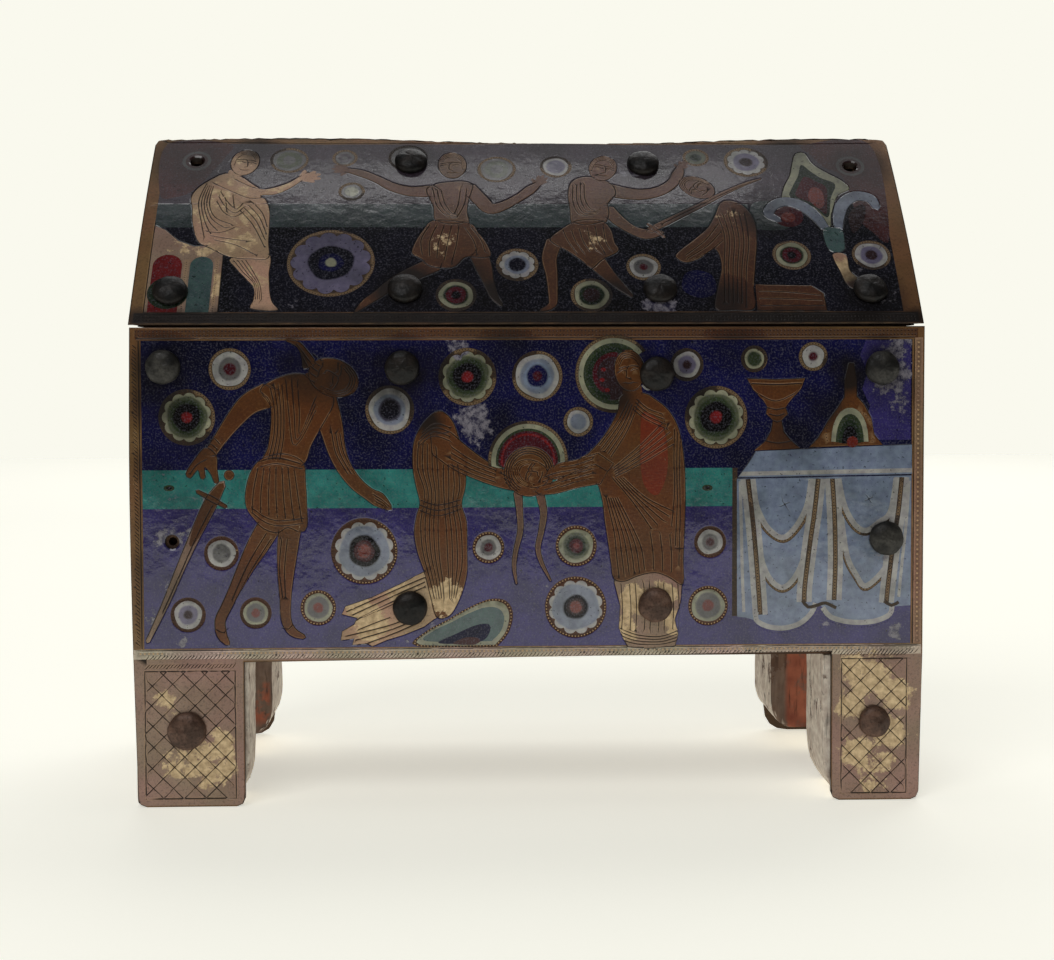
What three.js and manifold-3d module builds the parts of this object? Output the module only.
// A house-shaped reliquary casket: a wooden case on four posts, a lift-off wooden lid shaped as a
// gable roof, and copper plates nailed over both. Millimetres, X along the casket, Y from front to
// back, Z up, with the origin on the floor under the middle.
import * as THREE from "three";
import { mergeVertices } from "three/addons/utils/BufferGeometryUtils.js";
import Module from "manifold-3d";

const wasm = await Module();
wasm.setup();

// Driving dimensions
const LENGTH = 278;
const DEPTH = 120;
const FOOT_HEIGHT = 52;
const BODY_TOP = 168;
const RIDGE_TOP = 241;
const SEAM = 0.9; // open joint between the roof plates and the plates of the case
const PLATE = 2; // thickness of the copper
const BOARD = 9; // thickness of the wood
const GAP = 0.3; // clearance round nails and under the lid
const END_INSET = 1; // how far the end plates lie inside the ends of the long plates

// The bowed roof
const ROOF_BOW = 2; // rise of the roof plate over the straight line from eave to ridge
const RIDGE_GAP = 0.4; // distance of the front roof plate from the ridge plane
const ROOF_STEPS = 6;
const BOARD_PEAK = 238; // flat top that the crest stood on
const ROOF_CORNER = 3.5;
const ROOF_SHOULDER = 224; // height where a clipped corner of a roof plate begins
// The upper edge of each roof plate: its heights from left to right, how far its corners are clipped,
// and where it ends before the ridge plane (the back plate reaches past it)
const FRONT_EDGE = {
  heights: [240.6, 241, 240.9, 239.6, 238.9, 239.7, 240.9, 241],
  left: 0,
  right: 0,
  end: RIDGE_GAP,
};
const BACK_EDGE = {
  heights: [241, 241.5, 241.3, 240.1, 239.5, 240.3, 241.4, 241.5],
  left: 10,
  right: 4,
  end: -0.1,
};

// Feet of the copper plates
const LEFT_FOOT_WIDTH = 39;
const RIGHT_FOOT_WIDTH = 32.2;
const BACK_FOOT_WIDTH = 36;
const FOOT_TAPER = 1.6;
const FOOT_CORNER = 3;
const LEFT_SKIRT = 50.9; // height of the lower edge of the front plate beside each foot
const RIGHT_SKIRT = 53.2;
const EDGE_BOW = 0.9; // outward bow of the front plate's left edge
const END_FRONT_FOOT = { left: 19, right: 30 }; // width of the feet of the end plates
const END_BACK_FOOT = 38;

// Wooden posts: inner face along X, then depth along Y
const POST_ROUND = 12.5;
const POSTS = {
  front_left_post: { side: -1, inner: 98.5, front: -DEPTH / 2 + PLATE, back: -38 },
  front_right_post: { side: 1, inner: 103.9, front: -DEPTH / 2 + PLATE, back: -27 },
  back_left_post: { side: -1, inner: 99.2, front: 18, back: DEPTH / 2 - PLATE },
  back_right_post: { side: 1, inner: 98.6, front: 18, back: DEPTH / 2 - PLATE },
};

// Nails: the radius and height of the domed head, and the shank
const DOME = { head: 6.3, height: 3.7, rim: 0.9, shank: 1.3, depth: 8, sides: 12, steps: 3 };
const LARGE_DOME = { ...DOME, head: 7 };
const SMALL_DOME = { ...DOME, head: 5.8, height: 3.5 };
const PIN = { head: 3, height: 0.9, rim: 0.4, shank: 1, depth: 7, sides: 8, steps: 1 };
const EMPTY_HOLE = 2.5; // radius of a plate hole whose nail is lost
const HOLE_SIDES = 8;

// Nail places on the front plate [x, z]
const FRONT_NAILS = [
  [-127, 154.3],
  [-44.3, 153.8],
  [44.8, 151.4],
  [124.1, 153.3],
  [-41.9, 69.7],
  [44.2, 70.2],
  [125.9, 93.3],
];
const FRONT_EMPTY = [[-124.6, 93.4]];
const FRONT_FOOT_NAILS = [
  [-120.1, 27, LARGE_DOME],
  [122.1, 28.2, SMALL_DOME],
];
// Nail places on the back plate [x, z]
const BACK_NAILS = [
  [-125, 153],
  [0, 153],
  [125, 153],
  [-125, 70],
  [0, 70],
  [125, 70],
];
const BACK_FOOT_NAILS = [
  [-120, 27, SMALL_DOME],
  [120, 27, SMALL_DOME],
];
// Nail places on the roof plates [x, distance up the slope]
const ROOF_FRONT_NAILS = [
  [-42.4, 79],
  [44.7, 78],
  [-125.7, 14.3],
  [-43.4, 15.1],
  [46.8, 14.9],
  [121.7, 14.8],
];
const ROOF_FRONT_EMPTY = [
  [-122.4, 80],
  [123.1, 77.5],
];
const ROOF_BACK_NAILS = [
  [-122, 79],
  [122, 79],
  [-122, 15],
  [122, 15],
];
// Pins of the end plates [y, z], and of the gable plates
const END_PINS = [
  [-40, 152],
  [40, 152],
  [-44, 26],
  [40, 26],
];
const GABLE_PIN = [0, 210];

const HALF_LENGTH = LENGTH / 2;
const HALF_DEPTH = DEPTH / 2;
const BOARD_END = HALF_LENGTH - END_INSET - PLATE;
const BOARD_FACE = HALF_DEPTH - PLATE;
const LID_BOTTOM = BODY_TOP + GAP;
const EAVE = BODY_TOP + SEAM;

const copper = new THREE.MeshStandardMaterial({ color: 0x6b4a3a, roughness: 0.45, metalness: 0.8 });
const enamelled = new THREE.MeshStandardMaterial({ color: 0x1c2350, roughness: 0.3, metalness: 0.2 });
const wood = new THREE.MeshStandardMaterial({ color: 0x7a6656, roughness: 0.9, metalness: 0 });
const nailMetal = new THREE.MeshStandardMaterial({ color: 0x3f2c26, roughness: 0.5, metalness: 0.7 });

const casket = new THREE.Group();
const body = new THREE.Group();
const lid = new THREE.Group();
casket.add(body, lid);

// A geometry as a manifold-3d solid
function solid(geometry) {
  const bare = new THREE.BufferGeometry();
  bare.setAttribute("position", geometry.getAttribute("position"));
  if (geometry.index) bare.setIndex(geometry.index);
  const merged = mergeVertices(bare, 1e-4);
  return new wasm.Manifold(
    new wasm.Mesh({
      numProp: 3,
      vertProperties: new Float32Array(merged.attributes.position.array),
      triVerts: new Uint32Array(merged.index.array),
    }),
  );
}

// A manifold-3d solid as a flat-shaded geometry
function geometryOf(made) {
  const mesh = made.getMesh();
  const indexed = new THREE.BufferGeometry();
  indexed.setAttribute("position", new THREE.BufferAttribute(mesh.vertProperties, 3));
  indexed.setIndex(new THREE.BufferAttribute(mesh.triVerts, 1));
  const flat = indexed.toNonIndexed();
  flat.computeVertexNormals();
  return flat;
}

function addMesh(group, name, geometry, material) {
  const mesh = new THREE.Mesh(geometry, material);
  mesh.name = name;
  group.add(mesh);
  return mesh;
}

// A closed outline through [x, y, radius] corners
function outline(corners) {
  const shape = new THREE.Shape();
  corners.forEach(([x, y, radius = 0], i) => {
    const corner = new THREE.Vector2(x, y);
    const before = new THREE.Vector2(...corners.at(i - 1).slice(0, 2));
    const after = new THREE.Vector2(...corners[(i + 1) % corners.length].slice(0, 2));
    const start = corner.clone().add(before.sub(corner).setLength(radius));
    const end = corner.clone().add(after.sub(corner).setLength(radius));
    if (i === 0) shape.moveTo(start.x, start.y);
    else shape.lineTo(start.x, start.y);
    if (radius > 0) shape.quadraticCurveTo(x, y, end.x, end.y);
  });
  shape.closePath();
  return shape;
}

function extruded(shape, depth) {
  return new THREE.ExtrudeGeometry(shape, { depth, bevelEnabled: false, curveSegments: 5 });
}

// An outline in X and Z, thickened along Y from front to back
function upright(shape, front, back) {
  return extruded(shape, back - front)
    .rotateX(Math.PI / 2)
    .translate(0, back, 0);
}

// An outline in Y and Z, thickened along X from left to right
function crosswise(shape, left, right) {
  return extruded(shape, right - left)
    .rotateX(Math.PI / 2)
    .rotateZ(Math.PI / 2)
    .translate(left, 0, 0);
}

function board(x0, x1, y0, y1, z0, z1) {
  return new THREE.BoxGeometry(x1 - x0, y1 - y0, z1 - z0).translate(
    (x0 + x1) / 2,
    (y0 + y1) / 2,
    (z0 + z1) / 2,
  );
}

// The roof's arc, in the distance from the ridge plane and the height
const run = HALF_DEPTH - RIDGE_GAP;
const rise = RIDGE_TOP - EAVE;
const slope = Math.hypot(run, rise);
const ROOF_RADIUS = slope ** 2 / (8 * ROOF_BOW) + ROOF_BOW / 2;
const ROOF_CENTRE = {
  out: (HALF_DEPTH + RIDGE_GAP) / 2 - (rise / slope) * (ROOF_RADIUS - ROOF_BOW),
  up: (EAVE + RIDGE_TOP) / 2 - (run / slope) * (ROOF_RADIUS - ROOF_BOW),
};

// Points of the arc that lies some depth under the roof's face, between a height and the ridge plane
function roofArc(depth, low, nearRidge) {
  const radius = ROOF_RADIUS - depth;
  const from = Math.asin((low - ROOF_CENTRE.up) / radius);
  const to = Math.acos((nearRidge - ROOF_CENTRE.out) / radius);
  return Array.from({ length: ROOF_STEPS + 1 }, (_, i) => {
    const angle = from + ((to - from) * i) / ROOF_STEPS;
    return new THREE.Vector2(
      ROOF_CENTRE.out + radius * Math.cos(angle),
      ROOF_CENTRE.up + radius * Math.sin(angle),
    );
  });
}

// The section of a roof plate or board; side is -1 in front and 1 behind
function roofSection(side, depth, thickness, low, nearRidge) {
  const face = roofArc(depth, low, nearRidge);
  const underside = roofArc(depth + thickness, low, nearRidge).reverse();
  return new THREE.Shape([...face, ...underside].map((p) => new THREE.Vector2(side * p.x, p.y)));
}

// The end of the lid, some depth under the faces of both roof plates
function gableOutline(depth, low) {
  const half = roofArc(depth, low, 0);
  const other = half
    .slice(0, -1)
    .reverse()
    .map((p) => new THREE.Vector2(-p.x, p.y));
  return new THREE.Shape([...half, ...other]);
}

// The outline of a roof plate seen from the front: rounded upper corners and a worn, sagging upper edge
function roofTrim({ heights, left, right }) {
  const first = heights[0];
  const last = heights.at(-1);
  const leftEnd = left - HALF_LENGTH;
  const rightEnd = HALF_LENGTH - right;
  const step = (rightEnd - leftEnd - 2 * ROOF_CORNER) / (heights.length - 1);
  const edge = heights.map((z, i) => new THREE.Vector2(leftEnd + ROOF_CORNER + i * step, z));
  const shape = new THREE.Shape();
  shape.moveTo(-HALF_LENGTH, BODY_TOP - BOARD);
  shape.lineTo(HALF_LENGTH, BODY_TOP - BOARD);
  shape.lineTo(HALF_LENGTH, ROOF_SHOULDER);
  shape.lineTo(rightEnd, last - ROOF_CORNER);
  shape.quadraticCurveTo(rightEnd, last, rightEnd - ROOF_CORNER, last);
  shape.splineThru(edge.reverse().slice(1));
  shape.quadraticCurveTo(leftEnd, first, leftEnd, first - ROOF_CORNER);
  shape.lineTo(-HALF_LENGTH, ROOF_SHOULDER);
  shape.closePath();
  return solid(upright(shape, -DEPTH, DEPTH));
}

// A place on a standing face; side is -1 in front and 1 behind
function onWall(side, x, z) {
  return {
    at: new THREE.Vector3(x, side * HALF_DEPTH, z),
    out: new THREE.Vector3(0, side, 0),
  };
}

// A place on a roof plate, by the distance up the slope
function onRoof(side, x, distance) {
  const from = Math.asin((EAVE - ROOF_CENTRE.up) / ROOF_RADIUS);
  const angle = from + distance / ROOF_RADIUS;
  const out = new THREE.Vector3(0, side * Math.cos(angle), Math.sin(angle));
  const at = new THREE.Vector3(x, side * ROOF_CENTRE.out, ROOF_CENTRE.up);
  return { at: at.addScaledVector(out, ROOF_RADIUS), out };
}

// A place on an end plate; side is -1 on the left and 1 on the right
function onEnd(side, y, z) {
  return {
    at: new THREE.Vector3(side * (HALF_LENGTH - END_INSET), y, z),
    out: new THREE.Vector3(side, 0, 0),
  };
}

// A nail along Y, its head standing on the plane y = 0
function nailGeometry(kind) {
  const profile = [
    [0, -kind.depth],
    [kind.shank * 0.4, -kind.depth],
    [kind.shank, -kind.depth * 0.5],
    [kind.shank, 0],
    [kind.head, 0],
  ];
  for (let i = 0; i < kind.steps; i += 1) {
    const angle = (i / kind.steps) * (Math.PI / 2);
    profile.push([kind.head * Math.cos(angle), kind.rim + (kind.height - kind.rim) * Math.sin(angle)]);
  }
  profile.push([0, kind.height]);
  const points = profile.map(([r, y]) => new THREE.Vector2(r, y));
  return new THREE.LatheGeometry(points, kind.sides);
}

// The tool that cuts a nail's hole, a gap wider than the shank
function holeTool(place, radius, depth) {
  const tool = new THREE.CylinderGeometry(radius, radius, 2 * depth, HOLE_SIDES);
  const turn = new THREE.Quaternion().setFromUnitVectors(new THREE.Vector3(0, 1, 0), place.out);
  tool.applyQuaternion(turn);
  tool.translate(place.at.x, place.at.y, place.at.z);
  return solid(tool);
}

function addNail(group, name, place, kind) {
  const nail = addMesh(group, name, nailGeometry(kind), nailMetal);
  nail.quaternion.setFromUnitVectors(new THREE.Vector3(0, 1, 0), place.out);
  nail.position.copy(place.at).addScaledVector(place.out, GAP);
}

// One set of nails and the solids of their holes
function nailSet(group, prefix, places, kind) {
  return places.map((place, i) => {
    const own = place.kind ?? kind;
    addNail(group, `${prefix}_${i + 1}`, place, own);
    return holeTool(place, own.shank + GAP, own.depth + GAP);
  });
}

function cut(geometry, tools) {
  return geometryOf(tools.reduce((rest, tool) => rest.subtract(tool), solid(geometry)));
}

function emptyHoles(places, radius, depth) {
  return places.map((place) => holeTool(place, radius, depth));
}

// The front plate and its two feet, one sheet
function frontOutline() {
  const top = HALF_LENGTH - EDGE_BOW / 2;
  const shape = new THREE.Shape();
  shape.moveTo(-top, BODY_TOP);
  shape.quadraticCurveTo(-HALF_LENGTH - EDGE_BOW, 110, -top, FOOT_HEIGHT);
  shape.lineTo(-HALF_LENGTH + FOOT_TAPER, FOOT_CORNER);
  shape.quadraticCurveTo(-HALF_LENGTH + FOOT_TAPER, 0, -HALF_LENGTH + FOOT_TAPER + FOOT_CORNER, 0);
  shape.lineTo(-HALF_LENGTH + LEFT_FOOT_WIDTH - FOOT_CORNER, 0);
  shape.quadraticCurveTo(-HALF_LENGTH + LEFT_FOOT_WIDTH, 0, -HALF_LENGTH + LEFT_FOOT_WIDTH, FOOT_CORNER);
  shape.lineTo(-HALF_LENGTH + LEFT_FOOT_WIDTH, LEFT_SKIRT);
  shape.lineTo(HALF_LENGTH - RIGHT_FOOT_WIDTH, RIGHT_SKIRT);
  shape.lineTo(HALF_LENGTH - RIGHT_FOOT_WIDTH, FOOT_CORNER);
  shape.quadraticCurveTo(HALF_LENGTH - RIGHT_FOOT_WIDTH, 0, HALF_LENGTH - RIGHT_FOOT_WIDTH + FOOT_CORNER, 0);
  shape.lineTo(HALF_LENGTH - FOOT_TAPER / 2 - FOOT_CORNER, 0);
  shape.quadraticCurveTo(HALF_LENGTH - FOOT_TAPER / 2, 0, HALF_LENGTH - FOOT_TAPER / 2, FOOT_CORNER);
  shape.lineTo(HALF_LENGTH + EDGE_BOW / 4, FOOT_HEIGHT);
  shape.lineTo(HALF_LENGTH + EDGE_BOW / 4, BODY_TOP);
  shape.closePath();
  return shape;
}

// A plain plate with two feet, by the places of its four foot edges
function footedOutline(left, leftInner, rightInner, right, skirt, top) {
  return outline([
    [left, top],
    [left, 0, FOOT_CORNER],
    [leftInner, 0, FOOT_CORNER],
    [leftInner, skirt],
    [rightInner, skirt],
    [rightInner, 0, FOOT_CORNER],
    [right, 0, FOOT_CORNER],
    [right, top],
  ]);
}

// Case: floor, four walls and four posts, with the blind holes of the nails
function buildCase(holes) {
  const inner = BOARD_END - BOARD;
  const floor = board(-inner, inner, -BOARD_FACE + BOARD, BOARD_FACE - BOARD, FOOT_HEIGHT, FOOT_HEIGHT + BOARD);
  addMesh(body, "floor_board", floor, wood);
  const front = board(-BOARD_END, BOARD_END, -BOARD_FACE, -BOARD_FACE + BOARD, FOOT_HEIGHT, BODY_TOP);
  addMesh(body, "front_board", cut(front, holes.front), wood);
  const back = board(-BOARD_END, BOARD_END, BOARD_FACE - BOARD, BOARD_FACE, FOOT_HEIGHT, BODY_TOP);
  addMesh(body, "back_board", cut(back, holes.back), wood);
  for (const [name, side] of [["left", -1], ["right", 1]]) {
    const near = Math.min(side * inner, side * BOARD_END);
    const end = board(near, near + BOARD, -BOARD_FACE + BOARD, BOARD_FACE - BOARD, FOOT_HEIGHT, BODY_TOP);
    addMesh(body, `${name}_end_board`, cut(end, holes[name]), wood);
  }
  for (const [name, post] of Object.entries(POSTS)) {
    const shape = outline([
      [post.side * post.inner, FOOT_HEIGHT],
      [post.side * post.inner, 0, POST_ROUND],
      [post.side * BOARD_END, 0],
      [post.side * BOARD_END, FOOT_HEIGHT],
    ]);
    const tools = [...holes.front, ...holes.back, ...holes.left, ...holes.right];
    addMesh(body, name, cut(upright(shape, post.front, post.back), tools), wood);
  }
}

// Copper plates of the case
function buildCasePlates(holes) {
  const front = upright(frontOutline(), -HALF_DEPTH, -BOARD_FACE);
  addMesh(body, "front_plate", cut(front, [...holes.front, ...holes.frontEmpty]), enamelled);
  const foot = HALF_LENGTH - BACK_FOOT_WIDTH;
  const backShape = footedOutline(-HALF_LENGTH, -foot, foot, HALF_LENGTH, FOOT_HEIGHT, BODY_TOP);
  addMesh(body, "back_plate", cut(upright(backShape, BOARD_FACE, HALF_DEPTH), holes.back), enamelled);
  for (const [name, side] of [["left", -1], ["right", 1]]) {
    const endShape = footedOutline(
      -BOARD_FACE,
      -BOARD_FACE + END_FRONT_FOOT[name],
      BOARD_FACE - END_BACK_FOOT,
      BOARD_FACE,
      FOOT_HEIGHT,
      BODY_TOP,
    );
    const near = Math.min(side * BOARD_END, side * (BOARD_END + PLATE));
    addMesh(body, `${name}_end_plate`, cut(crosswise(endShape, near, near + PLATE), holes[name]), enamelled);
  }
}

// Lid: two roof boards, two gables and their copper
function buildLid(holes) {
  const peak = solid(board(-HALF_LENGTH, HALF_LENGTH, -DEPTH, DEPTH, 0, BOARD_PEAK));
  for (const [name, side, edge] of [["front", -1, FRONT_EDGE], ["back", 1, BACK_EDGE]]) {
    const boardShape = roofSection(side, PLATE + GAP, BOARD, LID_BOTTOM, GAP / 2);
    const raw = solid(crosswise(boardShape, -BOARD_END, BOARD_END)).intersect(peak);
    const nailed = holes[name].reduce((rest, tool) => rest.subtract(tool), raw);
    addMesh(lid, `roof_${name}_board`, geometryOf(nailed), wood);
    const plateShape = roofSection(side, 0, PLATE, EAVE, edge.end);
    const sheet = solid(crosswise(plateShape, -HALF_LENGTH, HALF_LENGTH)).intersect(roofTrim(edge));
    const tools = [...holes[name], ...holes[`${name}Empty`]];
    const drilled = tools.reduce((rest, tool) => rest.subtract(tool), sheet);
    addMesh(lid, `roof_${name}_plate`, geometryOf(drilled), enamelled);
  }
  const gableShape = gableOutline(PLATE + BOARD + 2 * GAP, LID_BOTTOM);
  const gablePlateShape = gableOutline(PLATE + GAP, EAVE);
  for (const [name, side] of [["left", -1], ["right", 1]]) {
    const boardNear = Math.min(side * BOARD_END, side * (BOARD_END - BOARD));
    addMesh(lid, `${name}_gable_board`, cut(crosswise(gableShape, boardNear, boardNear + BOARD), holes[name]), wood);
    const plateNear = Math.min(side * BOARD_END, side * (BOARD_END + PLATE));
    const plate = crosswise(gablePlateShape, plateNear, plateNear + PLATE);
    addMesh(lid, `${name}_gable_plate`, cut(plate, holes[name]), copper);
  }
}

const wall = (side) => ([x, z, kind]) => ({ ...onWall(side, x, z), kind });
const roof = (side) => ([x, distance]) => onRoof(side, x, distance);
const end = (side) => ([y, z]) => onEnd(side, y, z);
const oldShank = DOME.shank + GAP;

const caseHoles = {
  front: [
    ...nailSet(body, "front_nail", FRONT_NAILS.map(wall(-1)), DOME),
    ...nailSet(body, "front_foot_nail", FRONT_FOOT_NAILS.map(wall(-1)), DOME),
    ...emptyHoles(FRONT_EMPTY.map(wall(-1)), oldShank, DOME.depth),
  ],
  frontEmpty: emptyHoles(FRONT_EMPTY.map(wall(-1)), EMPTY_HOLE, PLATE + GAP),
  back: [
    ...nailSet(body, "back_nail", BACK_NAILS.map(wall(1)), DOME),
    ...nailSet(body, "back_foot_nail", BACK_FOOT_NAILS.map(wall(1)), DOME),
  ],
  left: nailSet(body, "left_end_pin", END_PINS.map(end(-1)), PIN),
  right: nailSet(body, "right_end_pin", END_PINS.map(end(1)), PIN),
};
buildCase(caseHoles);
buildCasePlates(caseHoles);

buildLid({
  front: [
    ...nailSet(lid, "roof_front_nail", ROOF_FRONT_NAILS.map(roof(-1)), DOME),
    ...emptyHoles(ROOF_FRONT_EMPTY.map(roof(-1)), oldShank, DOME.depth),
  ],
  frontEmpty: emptyHoles(ROOF_FRONT_EMPTY.map(roof(-1)), EMPTY_HOLE, PLATE + GAP),
  back: nailSet(lid, "roof_back_nail", ROOF_BACK_NAILS.map(roof(1)), DOME),
  backEmpty: [],
  left: nailSet(lid, "left_gable_pin", [end(-1)(GABLE_PIN)], PIN),
  right: nailSet(lid, "right_gable_pin", [end(1)(GABLE_PIN)], PIN),
});

export default casket;
